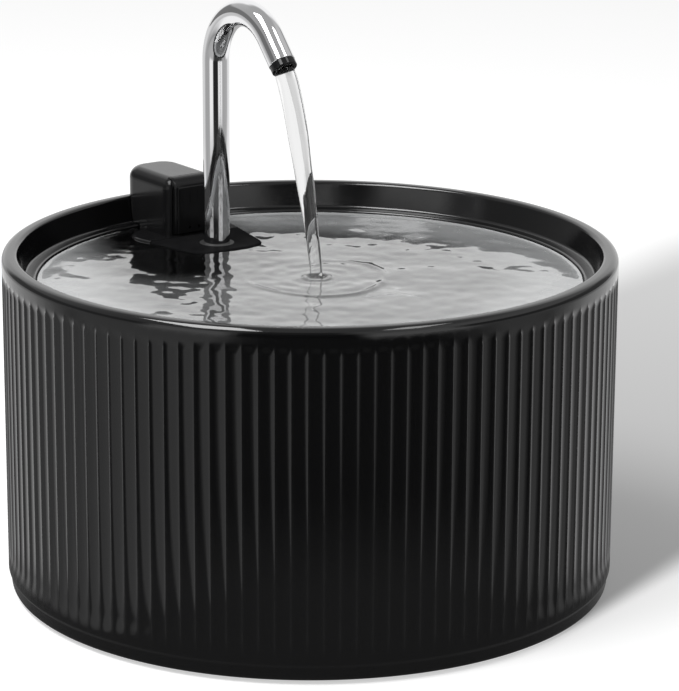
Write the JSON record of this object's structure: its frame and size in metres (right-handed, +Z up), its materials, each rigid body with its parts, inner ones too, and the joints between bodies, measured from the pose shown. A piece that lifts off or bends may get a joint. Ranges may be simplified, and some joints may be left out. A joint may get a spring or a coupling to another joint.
{
  "type": "pet water fountain",
  "caption": "Round ribbed ceramic drinking basin for pets, with a lift-out pump tower that hangs over the rim and a swivelling gooseneck faucet.",
  "frame": {"origin": "on the basin's axis, at the surface the basin's pads stand on", "axes": "+Z up along the basin's axis; the pump tower, riser and cord exit are at +Y and the faucet pours towards -Y; +X completes the right-handed set"},
  "size_m": [0.21, 0.21, 0.1982],
  "materials": {
    "ceramic": "black glaze, satin outside and on the rim, gloss inside",
    "silicone_pad": "matte silicone",
    "black_plastic": "fine satin moulding",
    "gloss_black": "gloss moulding",
    "polished_steel": "mirror polished stainless steel",
    "clear_silicone": "translucent silicone",
    "black_rubber": "matte rubber",
    "carbon_pad": "carbon felt",
    "foam": "open-cell foam",
    "pump_plastic": "moulded plastic",
    "white_plastic": "moulded acetal",
    "resin": "cast resin",
    "core_steel": "stacked laminations",
    "copper_winding": "enamelled copper wire",
    "circuit_board": "green solder mask",
    "magnet": "ferrite",
    "shaft_ceramic": "ground alumina",
    "cable_jacket": "smooth jacket"
  },
  "bodies": {
    "basin": {"basin": "ceramic", "basin_pads": "silicone_pad"},
    "tower": {"tower_shell": "gloss_black", "tower_feet": "silicone_pad", "riser_shell": "black_plastic", "cord_gland": "black_rubber", "pump_head": "pump_plastic", "head_seal": "black_rubber", "pump_body": "pump_plastic", "pump_rear_plate": "pump_plastic", "pump_potting": "resin", "stator_core": "core_steel", "stator_coil": "copper_winding", "driver_board": "circuit_board", "shaft_bushes": "white_plastic", "rotor_shaft": "shaft_ceramic", "lead_gland": "black_rubber", "pump_lead": "cable_jacket"},
    "riser_cover": {"riser_cover": "black_plastic"},
    "lid": {"tower_lid": "gloss_black", "lid_grommet": "black_rubber"},
    "coupling": {"outlet_coupling": "clear_silicone"},
    "faucet": {"faucet_tube": "polished_steel", "nozzle_insert": "gloss_black", "flow_straightener": "white_plastic"},
    "intake": {"intake_grille": "gloss_black", "filter_pad": "carbon_pad", "foam_sponge": "foam"},
    "flow_gate": {"flow_gate": "white_plastic"},
    "rotor": {"rotor_magnet": "magnet", "impeller": "white_plastic"}
  },
  "joints": [
    {"name": "tower_lift", "type": "slide", "parent": "basin", "child": "tower", "axis": [0, 0, 1], "range_m": [0, 0.125]},
    {"name": "cover_lift", "type": "slide", "parent": "tower", "child": "riser_cover", "axis": [0, 0, 1], "range_m": [0, 0.022]},
    {"name": "lid_lift", "type": "slide", "parent": "tower", "child": "lid", "axis": [0, 0, 1], "range_m": [0, 0.025]},
    {"name": "coupling_pull", "type": "slide", "parent": "tower", "child": "coupling", "axis": [0, 0, 1], "range_m": [0, 0.02]},
    {"name": "faucet_swivel", "type": "hinge", "parent": "coupling", "child": "faucet", "pos_m": [0, 0.0575, 0.0795], "axis": [0, 0, 1], "range_deg": [-90, 90]},
    {"name": "grille_pull", "type": "slide", "parent": "tower", "child": "intake", "axis": [0, -1, 0], "range_m": [0, 0.03]},
    {"name": "flow_adjust", "type": "slide", "parent": "tower", "child": "flow_gate", "axis": [1, 0, 0], "range_m": [0, 0.003]},
    {"name": "rotor_spin", "type": "hinge", "parent": "tower", "child": "rotor", "pos_m": [0, 0.0615, 0.029], "axis": [0, 1, 0], "continuous": true}
  ]
}
